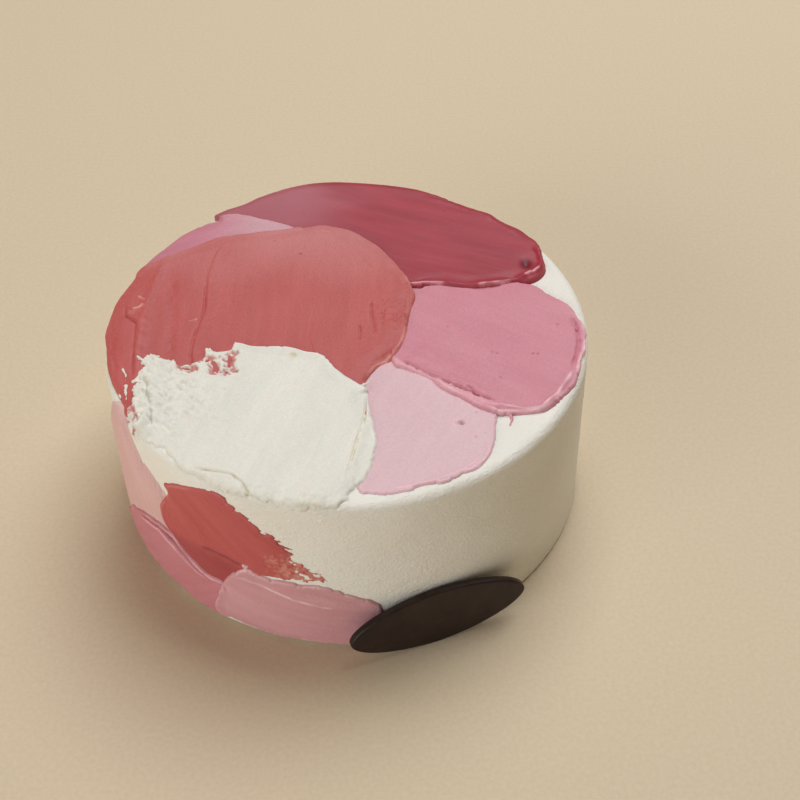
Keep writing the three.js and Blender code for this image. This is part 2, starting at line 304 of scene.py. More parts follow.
def strokes(area, rise, angle, length, width, seed):
    """The knife's faint parallel marks, in a direction in degrees."""
    along, across = along_and_across(area, angle)
    bow = 0.8 * lumpy(area, 14, seed)
    total = 0.0
    for octave, share in enumerate((0.6, 0.35, 0.2)):
        finer = (across + bow) / width * 2.1**octave + octave * 3.7
        total = total + share * lumps(along / length * 1.3**octave, finer, seed)
    return rise * total


def softened(height, reach):
    """The height with everything narrower than reach mm levelled out."""
    pad = int(3 * reach / GRID)
    wide = np.pad(height, pad, mode="edge")
    waves_u = np.fft.fftfreq(wide.shape[0], GRID)[:, None]
    waves_v = np.fft.rfftfreq(wide.shape[1], GRID)[None, :]
    kept = np.exp(-2 * (math.pi * reach) ** 2 * (waves_u**2 + waves_v**2))
    levelled = np.fft.irfft2(np.fft.rfft2(wide) * kept, s=wide.shape)
    return levelled[pad:-pad, pad:-pad]


# Laying a smear


@dataclass
class Smear:
    """One stroke of the palette knife, as it is to be laid on a map. Each item of its lists of marks, trim,
    scraping and second colour is a function and then what that takes after the map."""

    name: str
    mix: str  # the buttercream that it is
    outline: list
    thickness: float
    edge: float  # how high its edge stands
    marks: list  # what the knife left on it
    trim: list = ()  # what tears, holes and crumbs do to the outline
    scraped: list = ()  # where the knife took it off again, from 0 to 1; in the dark rose's hollow the colour this brings is a painted shade
    tint_sheen_and_shade: list = ()  # from 0 to 1, where it takes its second colour: on some smears a painted sheen, on some a painted shade in creases, on the rose a paler ledge
    shoulder: float = 0.3  # mm in which the edge rises
    bead: float = 0.2  # rise of the lip that the knife pushes up
    bead_towards: float = -60  # degrees, the way the stroke ended
    lip_width: float = 0.34
    lip_highlight: float = 0.8  # how strongly the thin lip is painted paler: a painted highlight
    highlight_lines: list = ()  # thin crests inside it that get the same painted highlight
    ragged: float = 0.3
    stroke: float = 90  # the stroke's direction, in degrees
    wavy: float = 1.0  # how uneven its surface is

    # What comes of laying it
    inset: np.ndarray = None  # how far inside its edge each place is
    surface: np.ndarray = None  # how high it stands there
    painted: dict = None  # from 0 to 1, the painted highlight on its lips and crests, where it is thin and where it takes its second colour

    @property
    def seed(self):
        return sum(ord(letter) for letter in self.name) * 0.37


def sum_of(area, items):
    """The sum of what each item makes of the area."""
    total = np.zeros(area.u.shape)
    for make, *rest in items:
        total = total + make(area, *rest)
    return total


def inset_of(area, smear):
    """How far inside the smear each place is, once its outline has wandered, nicked and torn."""
    nicks = np.maximum(0, rough(area, 1.2, 2, smear.seed + 3) - 0.3)
    wander = 0.8 * rough(area, 5.0, 2, smear.seed) - nicks
    inset = inset_from(smooth_loop(smear.outline), area.u, area.v) + smear.ragged * wander
    for change, *rest in smear.trim:
        inset = change(area, inset, *rest)
    return inset


def lips_of(area, smear, inset):
    """The raised lip inside the edge, strongest where the stroke ended, and the crease behind it."""
    middle = np.array(smear.outline).mean(0)
    facing = np.arctan2(area.v - middle[1], area.u - middle[0]) - math.radians(smear.bead_towards)
    patchy = np.clip(0.75 + 0.7 * lumpy(area, 4, smear.seed), 0, 1.2)
    strength = (0.15 + 0.85 * eased(np.cos(facing), -0.1, 0.9)) * patchy
    lip = strength * bell(inset - 1.5 * smear.lip_width, smear.lip_width)
    broken = eased(rough(area, 3.0, 2, smear.seed + 7), -0.1, 0.3)
    return lip, strength * bell(inset - 3.5 * smear.lip_width, 0.3) * broken


def lay(area, smear):
    """Lays the smear over all that is on the map already."""
    inset = inset_of(area, smear)
    lip, crease = lips_of(area, smear, inset)

    under = area.height
    level = softened(under, KNIFE_REACH)
    base = under + (level - under) * eased(inset, 0, LEVEL_FROM)
    edge = smear.edge * (1 + 0.45 * lumpy(area, 6, smear.seed))
    rise = 1 - np.exp(-((np.maximum(inset, 0) / smear.shoulder) ** 1.4))
    body = edge * rise + (smear.thickness - edge) * eased(inset, 0, FULL_FROM)
    scraped = sum_of(area, smear.scraped)
    uneven = strokes(area, 0.05, smear.stroke, 30, 7, smear.seed)
    uneven = uneven + 0.012 * rough(area, 9, 4, smear.seed)
    relief = (smear.wavy * uneven + sum_of(area, smear.marks)) * eased(inset, 0.1, 0.8)
    surface = base + body + smear.bead * (lip - 0.6 * crease) + relief
    surface = surface + (under + FILM - surface) * scraped
    surface = np.where(inset > 0, surface, under + DIVE * inset)

    # The thin lip and the crests listed for it are painted paler than the smear: a painted highlight.
    patchy = np.clip(0.8 + 0.8 * lumpy(area, 2.6, smear.seed), 0.3, 1)
    pale = np.clip(smear.lip_highlight * lip, 0, 1)
    for line in smear.highlight_lines:
        pale = np.maximum(pale, patchy * line_tint(area, line, smear.lip_width))
    smear.inset, smear.surface = inset, surface
    smear.painted = {"lip": pale, "thin": scraped, "tint_sheen_and_shade": sum_of(area, smear.tint_sheen_and_shade)}
    area.height = np.where(inset > 0, np.maximum(under, surface), under)


# Meshes


def mesh_object(name, vertices, faces):
    mesh = bpy.data.meshes.new(name)
    mesh.from_pydata(np.asarray(vertices) * MM, [], faces)
    mesh.polygons.foreach_set("use_smooth", np.ones(len(mesh.polygons), bool))
    piece = bpy.data.objects.new(name, mesh)
    bpy.context.scene.collection.objects.link(piece)
    return piece


def ring_faces(rows, count):
    """The faces between rings of points, then fans from the first and the last ring to the two points that
    follow the rings."""
    index = np.arange(rows * count).reshape(rows, count)
    beside = np.roll(index, -1, 1)
    faces = np.stack([index[:-1], index[1:], beside[1:], beside[:-1]], -1).reshape(-1, 4).tolist()
    faces += [[rows * count, index[0, k], beside[0, k]] for k in range(count)]
    return faces + [[rows * count + 1, beside[-1, k], index[-1, k]] for k in range(count)]


def paint(piece, name, values):
    """A number, or a place in mm, at every vertex, for the piece's material to read."""
    values = np.asarray(values, np.float32)
    kind, field = ("FLOAT", "value") if values.ndim == 1 else ("FLOAT_VECTOR", "vector")
    attribute = piece.data.attributes.new(name, kind, "POINT")
    attribute.data.foreach_set(field, values.ravel())


def whole_cells(keep):
    """The grid cells with all four corners kept, with no two cells left that meet only at a corner."""
    cells = keep[:-1, :-1] & keep[1:, :-1] & keep[1:, 1:] & keep[:-1, 1:]
    for _ in range(12):
        rising = cells[:-1, :-1] & cells[1:, 1:] & ~cells[1:, :-1] & ~cells[:-1, 1:]
        falling = ~cells[:-1, :-1] & ~cells[1:, 1:] & cells[1:, :-1] & cells[:-1, 1:]
        if not (rising.any() or falling.any()):
            break
        cells[:-1, :-1] &= ~rising
        cells[1:, :-1] &= ~falling
    return cells


def rim_edges(cells):
    """The edges round the kept cells, as pairs of grid places, with the cells on their left."""
    wide = np.pad(cells, 1)
    inner = wide[1:-1, 1:-1]
    sides = [
        (inner & ~wide[1:-1, :-2], (0, 0), (1, 0)),
        (inner & ~wide[2:, 1:-1], (1, 0), (1, 1)),
        (inner & ~wide[1:-1, 2:], (1, 1), (0, 1)),
        (inner & ~wide[:-2, 1:-1], (0, 1), (0, 0)),
    ]
    pairs = []
    for open_side, start, end in sides:
        found = np.argwhere(open_side)
        pairs.append(np.stack([found + start, found + end], 1))
    return np.concatenate(pairs)


def underside(area, cells, pairs):
    """Triangles under the kept cells, between the points of their rim and a few others."""
    rim, rank = np.unique(pairs.reshape(-1, 2), axis=0, return_inverse=True)
    rank = rank.reshape(-1)
    coarse = np.zeros(cells.shape, bool)
    coarse[::UNDERSIDE_STEP, ::UNDERSIDE_STEP] = True
    clear = cells.copy()
    for shift in (3, -3):
        clear &= np.roll(cells, shift, 0) & np.roll(cells, shift, 1)
    spots = np.concatenate([rim, np.argwhere(coarse & clear)])
    flat = [Vector((area.u[i, j], area.v[i, j])) for i, j in spots]
    _, _, faces, origin, _, _ = delaunay_2d_cdt(flat, rank.reshape(-1, 2).tolist(), [], 1, 1e-5)
    origin = [found[0] for found in origin]
    triangles = []
    for face in faces:
        corners = [origin[k] for k in face]
        middle = spots[corners].mean(0) - 0.5
        i, j = np.clip(np.round(middle).astype(int), 0, np.array(cells.shape) - 1)
        near = cells[max(i - 1, 0) : i + 2, max(j - 1, 0) : j + 2]
        if cells[i, j] or near.sum() > 4:
            triangles.append(corners[::-1])
    return spots, rank.reshape(-1, 2), triangles


def smear_piece(area, smear, later):
    """The closed mesh of what shows of a laid smear under the later ones."""
    cover = np.max([other.inset for other in later], 0) if later else np.full(smear.inset.shape, -1.0)
    cells = whole_cells((smear.inset > -SKIRT) & (cover < BURIED))

    used = np.zeros(smear.inset.shape, bool)
    for di in (0, 1):
        for dj in (0, 1):
            used[di : used.shape[0] - 1 + di, dj : used.shape[1] - 1 + dj] |= cells
    number = np.full(used.shape, -1)
    number[used] = np.arange(used.sum())
    surface = np.maximum(smear.surface, -SUNK + 0.2)
    top = (area.point + area.out * surface[..., None])[used]
    quads = np.stack([number[:-1, :-1], number[1:, :-1], number[1:, 1:], number[:-1, 1:]], -1)[cells]

    pairs = rim_edges(cells)
    spots, low_pairs, triangles = underside(area, cells, pairs)
    low = (area.point - area.out * SUNK)[spots[:, 0], spots[:, 1]]
    start = number[pairs[:, 0, 0], pairs[:, 0, 1]]
    end = number[pairs[:, 1, 0], pairs[:, 1, 1]]
    walls = np.stack([start, low_pairs[:, 0] + len(top), low_pairs[:, 1] + len(top), end], -1)
    faces = quads.tolist() + walls.tolist() + [[k + len(top) for k in face] for face in triangles]
    piece = mesh_object(smear.name.replace("smear", "stroke"), np.concatenate([top, low]), faces)

    for attribute, share in smear.painted.items():
        paint(piece, attribute, np.concatenate([share[used], np.zeros(len(low))]))
    lain = np.stack([*along_and_across(area, smear.stroke), smear.surface], -1)
    paint(piece, "lain", np.concatenate([lain[used], np.zeros((len(low), 3))]))
    return piece


# What is particular to each smear: its lines, and the functions that its marks, trim and tints name


LIGHT_PINK_LIP = [(8, -55.3), (14, -54.3), (19, -53.1), (24.2, -50.9), (29, -47.8), (32.4, -43.8)]
LIGHT_PINK_BUBBLE = [(26.2, -33.9), (25.2, -34.3), (24.9, -35.2), (25.5, -36)]

ROSE_LOW_LIP = [(33, -29.4), (38, -30.4), (42, -31.2), (46, -30.6), (50, -26.2), (53, -21), (55.4, -16.6)]
ROSE_RIGHT_EDGE = [(57.4, 4), (58.5, -1), (58.5, -7), (57.4, -12.4), (55.2, -17.6)]
ROSE_BUBBLES = [
    ((56.8, -3.7), 0.7), ((52.4, -1.8), 0.5), ((25, -1.5), 0.35), ((35.4, -11.4), 0.4), ((36.6, -11.9), 0.5),
    ((45.4, -12.3), 0.5), ((46.6, -12.4), 0.6), ((37, -20.6), 0.35),
]
ROSE_SEAM = [
    (12.8, -13.4), (17.4, -16.8), (22.4, -20.6), (26.4, -23.4), (30, -25.2), (33, -27.4), (36.5, -29),
]


def rose_torn_lip(area):
    """At its lower left a second, torn lip stands back from the edge on a ledge."""
    across, along = from_line(area, ROSE_SEAM)
    broken = eased(rough(area, 1.6, 3, 8.0), -0.35, 0.3)
    torn = 0.2 * bell(across - 0.45, 0.35) - 0.5 * bell(across + 0.3, 0.3)
    return (torn * broken + 0.14 * bell(across + 1.1, 0.28)) * tapered(along)


def rose_pale_ledge(area):
    """The ledge below the torn lip is paler."""
    across, along = from_line(area, ROSE_SEAM)
    return eased(-across, 0.1, 0.5) * (1 - eased(-across, 1.9, 3)) * (1 - eased(along, 0.85, 1))


DARK_ROSE_LIPS = [
    [(14, 14.9), (18, 15), (22, 15.1), (25.4, 14.8)],
    [(33, 13.5), (36, 13.6), (39.4, 14.2), (42.6, 15.5)],
]
DARK_ROSE_CURL = [(42.4, 15.8), (45.4, 16.8), (48, 18.2), (49.9, 20.2), (50.6, 22.8), (50.4, 26), (49, 30)]


def dark_rose_sheen(area):
    """Paler towards its left end: a painted sheen."""
    return eased(area.u + 6 * lumps(area.u / 14, area.v / 5, 3.0), 6, -22)


def dusty_pink_sheen(area):
    """Paler at its right end, beside the dark rose: a painted sheen."""
    return eased(area.u, -42, -20)


def coral_back_sheen(area):
    """Paler towards the back, over the dark rose: a painted sheen."""
    return eased(area.v + 7 * lumpy(area, 17, 9.0), 12, 38)


CORAL_LONG_CREASE = [(-36.2, 19), (-36.3, 14), (-36, 7), (-37.3, -1.3), (-37.9, -5), (-38, -10), (-37, -16)]
CORAL_LEFT_CREASE = [(-56.2, 9), (-55.5, 5), (-52.7, 2.4), (-52.4, -2.4), (-52.1, -7.3), (-51.2, -18)]
CORAL_LEFT_CREST = [(-46.6, 31), (-48.2, 25), (-49.7, 17), (-51, 8), (-50.9, -1), (-50.9, -8), (-50.2, -17)]
CORAL_HOLLOW = [(-45.4, 22.3), (-45.3, 16), (-45, 9.9), (-43.7, 3.1), (-43.4, -6), (-43, -13)]
CORAL_FLECKS = [
    [(-53.4, 12.6), (-52.2, 11.2), (-51.4, 10.8)],
    [(-51.6, 9.2), (-52.8, 8), (-54.4, 7.4)],
    [(-39.8, 2.1), (-38.6, 2.4), (-37.2, 2.8)],
]
CORAL_SCRATCHES = [
    [(9.7, 3.5), (11, 4.6), (12.3, 5)],
    [(13.2, 0.8), (14.4, 1.7), (15.2, 1.8)],
    [(10.5, -2.3), (11.6, -3), (12.7, -3.5)],
    [(8.3, 1.8), (8.6, 0.6), (9.2, -0.5)],
]
CORAL_RIGHT_LIP = [(16.3, 8), (16.2, 3), (15.2, -3), (12.8, -8.6), (9.8, -13), (6.4, -16.8)]


def coral_scratched_patch(area):
    """Fine scratches in a patch by its right edge."""
    patch = heap(area, (11.5, 3), 0.5, 5.5) * (area.u > 0)
    return patch * np.maximum(0, rough(area, 1.1, 3, 21.0) - 0.2)


WHITE_HOLES = [
    ([(-32.6, -12.4), (-31.6, -14.6), (-31, -16.8)], 0.6),
    ([(-28.3, -11.4), (-28.1, -13.2), (-28.4, -14.8)], 0.6),
    ([(-28.8, -17), (-27.8, -17.1)], 0.3),
    ([(-34.2, -12.8), (-32.6, -12.9)], 0.4),
    ([(-39.4, -15.1), (-37.6, -15.7)], 0.25),
]
WHITE_CRUMBS = [
    ([(-54, -14.6), (-53, -16.6), (-52.8, -18.8)], 0.34),
    ([(-52.6, -20.4), (-52, -24.6)], 0.4),
    ([(-54, -22.4), (-53.4, -23.4)], 0.26),
    ([(-34.2, -8.6), (-32.8, -12.2), (-30.6, -13.6)], 0.4),
    ([(-27.2, -6.6), (-27.8, -9.4)], 0.4),
    ([(-51.5, -33.8), (-50.8, -35.4), (-49.6, -36.6)], 0.4),
    ([(-53, -30.6), (-51.4, -31.8)], 0.34),
    ([(-46.6, -14), (-48.6, -12.6), (-50.2, -11.5)], 1),
    ([(-31.4, -11), (-33.4, -8.8)], 0.7),
    ([(-49.4, -18.4), (-50.8, -19.4)], 0.9),
    ([(-41.6, -14.2), (-42.1, -12)], 0.6),
    ([(-49.8, -28.8), (-51, -30.6)], 0.8),
    ([(4, -22), (5.5, -20.2)], 0.5),
]
WHITE_FLAP = [(-34.6, -47), (-30.2, -48.4), (-25.3, -50), (-22.5, -52.8), (-19.6, -57.4)]
WHITE_FRONT_FOLD = [(-12, -58), (-9, -58.5), (-5.4, -58.6)]
WHITE_LEFT_CREASE = [(-48.1, -18.7), (-47.5, -22.9), (-46.7, -27), (-45.4, -32.4), (-44.9, -35)]
WHITE_RIGHT_CREASE = [(5.1, -25), (4.7, -31), (4.1, -36), (2.7, -41), (1.5, -47), (0.4, -52)]
WHITE_WORN_LINE = [(-50.6, -28.6), (-49.2, -33.6)]
WHITE_NUB = (-12.8, -12.6)


def torn_side(area):
    """From 0 to 1 towards the upper left of the white smear, where the knife was pulled away."""
    return eased(area.u + 0.55 * (area.v + 30), -20, -38) * eased(area.v - 0.25 * area.u, -38, -14)


def white_torn_edge(area, inset):
    """Torn at its upper left, and uneven along its front."""
    inset = inset + 1.2 * torn_side(area) * (rough(area, 1.9, 4, 4.0) - 0.15)
    return inset + 0.5 * eased(area.v, -46, -54) * rough(area, 1.5, 3, 14.0)


def near_lines(area, lines, reach):
    """From 0 to 1 within this reach of any of the lines."""
    distances = [np.abs(from_line(area, line)[0]) for line in lines]
    return 1 - eased(np.min(distances, 0), 0.3 * reach, reach)


def white_worn_film(area):
    """Round the holes the smear is dragged so thin that the coral shows through it."""
    near = near_lines(area, [line for line, _ in WHITE_HOLES], 2.8)
    near = near + near_lines(area, [WHITE_WORN_LINE], 2.2)
    worn = strokes(area, 1, -58, 2.6, 0.8, 31.0) + 0.7 * rough(area, 1.0, 3, 32.0)
    return eased(worn + 1.2 * near, 0.9, 1.6) * eased(near, 0, 0.15)


def white_fold_shade(area):
    """Darker and yellower in the folds at its front and right, and on a nub near its upper edge: painted
    shade.
    """
    patchy = np.clip(0.6 + 0.8 * rough(area, 2.0, 2, 33.0), 0, 1)
    folds = 0.8 * line_tint(area, WHITE_FLAP, 0.3) + 0.5 * line_tint(area, WHITE_RIGHT_CREASE, 0.3)
    folds = folds + 0.8 * line_tint(area, WHITE_FRONT_FOLD, 0.36)
    return np.clip(heap(area, WHITE_NUB, 0.8, 0.9) + folds * patchy, 0, 1)


def white_flakes(area):
    """Dragged open into flakes towards the upper left, and crumbly at the left and the front."""
    flakes = np.maximum(0, strokes(area, 1.6, -50, 3.6, 1.3, 4.5)) + 0.4 * rough(area, 1.4, 2, 4.5)
    crumbly = eased(area.u, -8, -34) + eased(area.v, -48, -55)
    return 0.07 * rough(area, 1.6, 3, 34.0) * crumbly + 0.85 * torn_side(area) * flakes


def side_pink_drawn_edge(area, inset):
    """Its right edge is drawn out along the stroke."""
    right = eased(area.u, -66, -54) * (area.v > 20)
    return inset - 1.6 * right * np.maximum(0, strokes(area, 1, 105, 14, 1.3, 15.0))


BRICK_CREASE = [(-37.4, 25.8), (-33.5, 26.5), (-29.8, 26.4), (-25.4, 25.4)]


def brick_dry(area):
    """From 0 to 1 towards its lower right end, where the knife ran dry."""
    return eased(area.u, -24, -11) * (1 - eased(area.v, 31, 35))


def brick_brushed_edge(area, inset):
    """Ragged along its right edge, and broken up where the knife ran dry."""
    inset = inset + eased(area.u, -36, -28) * strokes(area, 0.9, -10, 2.4, 0.8, 9.0)
    inset = inset + 0.4 * eased(area.u, -38, -30) * rough(area, 0.9, 2, 17.0)
    dabs = strokes(area, 1, -30, 2.2, 0.7, 19.0) + 0.6 * rough(area, 1.1, 2, 13.0)
    return np.minimum(inset, 0.7 * (2.8 * (1 - brick_dry(area)) + 0.6 - dabs))


def brick_film(area):
    """At the dry end it is a thin mottled film that fades into the cream."""
    dry = brick_dry(area)
    worn = strokes(area, 0.6, -30, 1.6, 0.6, 41.0) + rough(area, 0.7, 2, 42.0)
    return 0.9 * eased(1.2 * dry + worn * eased(dry, 0, 0.3), 0.3, 1.7)


def brick_darkening_and_crease_shade(area):
    """Darker below a crease, and darker still in the crease itself, where it is a painted shade."""
    below = eased(area.v, 27, 23) * (1 - eased(area.u, -27, -20))
    return np.clip(0.5 * below + line_tint(area, BRICK_CREASE, 0.7), 0, 1)


MAUVE_CREASE = [
    (-60, 20.2), (-55, 22.6), (-50.9, 23.6), (-47.9, 21.7), (-44.4, 19.1), (-40.2, 17), (-35.6, 15),
]
MAUVE_CREST = [(u - 0.3, v - 1.1) for u, v in MAUVE_CREASE]

LOW_PINK_EDGE = [
    (-3, 15), (-7.9, 16.3), (-12.9, 17.4), (-17, 19.2), (-21.2, 20.6), (-25.4, 21.2), (-29, 20.2),
]


# The smears, in the order in which they were laid


TOP_SMEARS = [
    Smear(
        "top_smear_light_pink",
        "light_pink_buttercream",
        [(24, -20), (12, -13), (4, -20), (2, -38), (2.5, -54.2), (5.5, -55.9), (9, -56.4), (14, -55.4),
         (17.8, -54), (22.5, -53.6), (26.3, -51), (31, -47.8), (33.2, -44.8), (34.4, -41), (35, -36.3),
         (35.6, -32), (32, -26)],
        thickness=0.8, edge=0.5,
        marks=[
            (strokes, 0.02, 62, 18, 6.0, 3.0),
            (pit, (26.9, -35.2), 0.6, 0.9),
            (heap, (25.6, -35), 0.5, 0.5),
            (pit, (30.4, -31.9), 0.3, 0.35),
            (pit, (30, -39.8), 0.34, 0.35),
            (ridge, LIGHT_PINK_LIP, 0.2, 0.24),
        ],
        highlight_lines=[LIGHT_PINK_LIP, LIGHT_PINK_BUBBLE],
        lip_width=0.3, bead=0.16, ragged=0.5, stroke=62,
    ),
    Smear(
        "top_smear_rose_pink",
        "rose_pink_buttercream",
        [(40, 17), (24, 18), (12, 12), (10, -4), (11.3, -14.4), (14, -16.3), (18.6, -19.4), (23.2, -24),
         (27.8, -27.8), (31.7, -30.5), (36.3, -32.5), (41.7, -32.5), (46.3, -31.7), (49.4, -29),
         (52.5, -25.5), (54.8, -22.5), (56.3, -18.6), (57, -14), (58.6, -9.4), (59.2, -3.2), (57.8, 1.4),
         (56.3, 5.2), (53.2, 9), (50.2, 12.5), (47.2, 14.8), (44, 16)],
        thickness=1.1, edge=0.9,
        marks=[
            (strokes, 0.02, -35, 20, 6.0, 6.0),
            (fold, ROSE_SEAM, 0.5, 6.0),
            (rose_torn_lip,),
            (ridge, [(28.4, -23.6), (29.9, -24.6), (30.4, -26.2), (31.6, -27)], -0.7, 0.3),
            (ridge, ROSE_LOW_LIP, 0.34, 0.5),
            (ridge, [(56, 2), (57, -3), (57, -8), (55.9, -13), (54.2, -17.4)], -0.6, 0.4),
            (ridge, ROSE_RIGHT_EDGE, 0.35, 0.4),
            *((pit, centre, 0.3, depth) for centre, depth in ROSE_BUBBLES),
        ],
        trim=[(with_dab, [(38.2, -31.5), (38.6, -33.8), (38, -36)], 0.5)],
        tint_sheen_and_shade=[(rose_pale_ledge,)],
        highlight_lines=[ROSE_LOW_LIP, ROSE_RIGHT_EDGE],
        lip_width=0.4, bead_towards=-70, ragged=0.4, stroke=-35,
    ),
    Smear(
        "top_smear_dark_rose",
        "dark_rose_buttercream",
        [(-36.4, 46.4), (-28, 38), (-8, 22), (16, 14), (20, 14.5), (24, 14.6), (27.8, 13.6), (33, 12.9),
         (37.8, 13.3), (41.7, 14.8), (44.6, 15.2), (47, 15.2), (49.8, 17.2), (51.3, 19.8), (51.7, 23),
         (51, 29), (48.6, 34.5), (44, 40.2), (37.8, 45.6), (30.2, 50.2), (21, 55.6), (14.8, 58.6),
         (5.5, 61.4), (-4.5, 62.4), (-13, 62), (-21, 59), (-28.4, 53.4), (-35.4, 48.4)],
        thickness=1.3, edge=1.1,
        marks=[
            (heap, (-12, 59), 1.4, 18, 1 / 3),  # it hangs thick over the cake's back edge
            *((ridge, line, 0.22, 0.34) for line in DARK_ROSE_LIPS),
            (ridge, [(25, 14.4), (28, 13.9), (31, 13.6), (34, 13.6)], 0.3, 0.6),
            (ridge, DARK_ROSE_CURL, 0.8, 0.8),
            (ridge, [(20, 53), (28, 49.4), (35.6, 44.8), (42, 39), (46.8, 33)], 0.22, 0.7),
            (strokes, 0.05, -24, 16, 2.6, 22.0),
        ],
        scraped=[(heap, (46.6, 22.4), 0.8, 1.4, 1.5)],  # a hollow behind the curl at its right end, its dark colour a painted shade
        tint_sheen_and_shade=[(dark_rose_sheen,)],
        highlight_lines=DARK_ROSE_LIPS + [DARK_ROSE_CURL[1:4]],
        bead=0.02, lip_highlight=0.1, bead_towards=-50, ragged=0.2, stroke=-24, wavy=0.5,
    ),
    Smear(
        "top_smear_dusty_pink",
        "dusty_pink_buttercream",
        [(-12, 37), (-14.5, 39.8), (-19.8, 43), (-24.5, 44.8), (-29, 46.3), (-33, 46.4), (-36.4, 45.2),
         (-39.8, 43.3), (-43.7, 41), (-47.5, 38), (-50.8, 33.6), (-53, 29.8), (-54.4, 25), (-54, 20),
         (-44, 20), (-26, 28)],
        thickness=1.1, edge=0.7,
        marks=[(strokes, 0.05, 30, 16, 3.0, 8.0)],
        tint_sheen_and_shade=[(dusty_pink_sheen,)],
        bead_towards=110, ragged=0.35, stroke=30,
    ),
    Smear(
        "top_smear_coral",
        "coral_buttercream",
        [(-13, 39.5), (-16, 38.6), (-23, 37.6), (-30, 37.4), (-35, 36.2), (-40.6, 33.2), (-46, 30.5),
         (-50.6, 27.8), (-54.8, 23.5), (-58.3, 15.6), (-60, 10), (-60.8, 3), (-60, -4), (-58.8, -9.4),
         (-57.6, -14.8), (-55.6, -20), (-53, -25), (-50.6, -30), (-40, -30), (-12, -28), (4, -25),
         (4.4, -22), (5, -19.4), (7.8, -15.5), (11.7, -11.7), (14, -7), (15.2, -1.7), (15.9, 4.5),
         (17.2, 9), (17, 13), (14.8, 19), (11, 26), (7, 32), (1.7, 37.2), (-3, 39.5), (-8, 40.6)],
        thickness=1.6, edge=0.9,
        marks=[
            (strokes, 0.03, 88, 26, 7.0, 2.0),
            (fold, [(-33, 33), (-35.2, 26)] + CORAL_LONG_CREASE, 0.35, 5.0),
            (ridge, CORAL_LONG_CREASE, -0.6, 0.34),
            (fold, CORAL_LEFT_CREASE, 0.9, 2.0),
            (ridge, CORAL_LEFT_CREASE, -0.65, 0.42),
            (ridge, CORAL_LEFT_CREST, 0.45, 1.3),
            (ridge, CORAL_HOLLOW, -0.3, 1.6),
            (ridge, [(-57.1, 14), (-58.7, 6), (-58.3, -2.2), (-57.2, -9), (-55.2, -17)], -0.3, 0.5),
            (fold, [(-8.3, 1), (-8.9, -5), (-8, -10), (-6, -13)], 0.14, 3.0),
            # three short cracks towards its right edge, and the scratches beside them
            (ridge, [(6.1, 8), (6.2, 3.6), (6.4, 1), (7.1, -4.4)], -0.5, 0.26),
            (ridge, [(3.1, -0.4), (3.3, -3), (3.1, -6.6)], -0.4, 0.26),
            (ridge, [(9.4, 4.4), (9, 1.6), (9, -1.6)], -0.36, 0.26),
            (coral_scratched_patch,),
            *((ridge, line, 0.22, 0.26) for line in CORAL_SCRATCHES),
            (ridge, [(-9, 37.4), (-5, 36.6), (0, 31), (4, 25.4), (8, 19)], 0.14, 0.5),
            (ridge, CORAL_RIGHT_LIP, 0.2, 0.3),
            *((ridge, line, 0.4, 0.32) for line in CORAL_FLECKS),
            (scattered_pits, (-44, -8), (12, 34), 12, 5),
            (pit, (-12.4, 27.4), 0.4, 0.4),
        ],
        tint_sheen_and_shade=[(coral_back_sheen,)],
        highlight_lines=CORAL_FLECKS + [CORAL_RIGHT_LIP],
        bead=0.05, lip_highlight=0.5, bead_towards=-15, shoulder=0.5, ragged=0.2, stroke=88,
    ),
    Smear(
        "top_smear_white_cream",
        "untinted_buttercream",
        [(4.4, -23), (1.7, -21), (-0.6, -19), (-3.7, -14.8), (-6, -11.7), (-9.8, -10.2), (-13.7, -8.6),
         (-19.8, -7.8), (-23, -7.7), (-26, -6.5), (-27.9, -7), (-28.6, -9), (-33, -9.4), (-34.2, -8.6),
         (-34.5, -11.7), (-37.5, -13.2), (-39.5, -14), (-41.8, -12.5), (-46, -11), (-49.8, -11.3),
         (-50, -14.8), (-50.6, -18.6), (-51, -22.5), (-50.2, -27), (-50.8, -31), (-49.5, -34.8),
         (-46.8, -37.8), (-43, -39.4), (-40, -42.5), (-36.8, -46.7), (-33.7, -48.6), (-29, -52.5),
         (-20, -56), (-16, -57.8), (-13, -59.2), (-7.5, -59.8), (-3, -59.4), (0.4, -58.2), (1.2, -56),
         (2.5, -54), (4.4, -52.5), (5.5, -49.4), (6.7, -45.5), (7.3, -41.7), (6.7, -36.3), (5.9, -31),
         (5.2, -25.5)],
        thickness=1.4, edge=0.55,
        marks=[
            (strokes, 0.05, 60, 12.0, 3.0, 7.0),
            (white_flakes,),
            (ridge, WHITE_RIGHT_CREASE, -1.1, 0.28),
            (fold, WHITE_RIGHT_CREASE, 0.4, 2.0),
            (fold, WHITE_LEFT_CREASE[::-1], 0.9, 2.4),
            (ridge, WHITE_LEFT_CREASE, -1.1, 0.5),
            (ridge, WHITE_FLAP, -0.55, 0.3),
            (fold, WHITE_FLAP[::-1], 0.3, 2.4),
            (heap, WHITE_NUB, 0.8, 0.8),
        ],
        trim=[
            (white_torn_edge,),
            *((with_hole, line, radius) for line, radius in WHITE_HOLES),
            *((with_dab, line, radius) for line, radius in WHITE_CRUMBS),
        ],
        scraped=[(white_worn_film,)],
        tint_sheen_and_shade=[(white_fold_shade,)],
        bead=0.16, bead_towards=40, shoulder=0.4, ragged=0.4, stroke=70,
    ),
]


def side_outline(corners):
    """An outline given in degrees round from the front and mm above the base, as places on the side's map."""
    return [(math.radians(azimuth) * CAKE_RADIUS, height) for azimuth, height in corners]


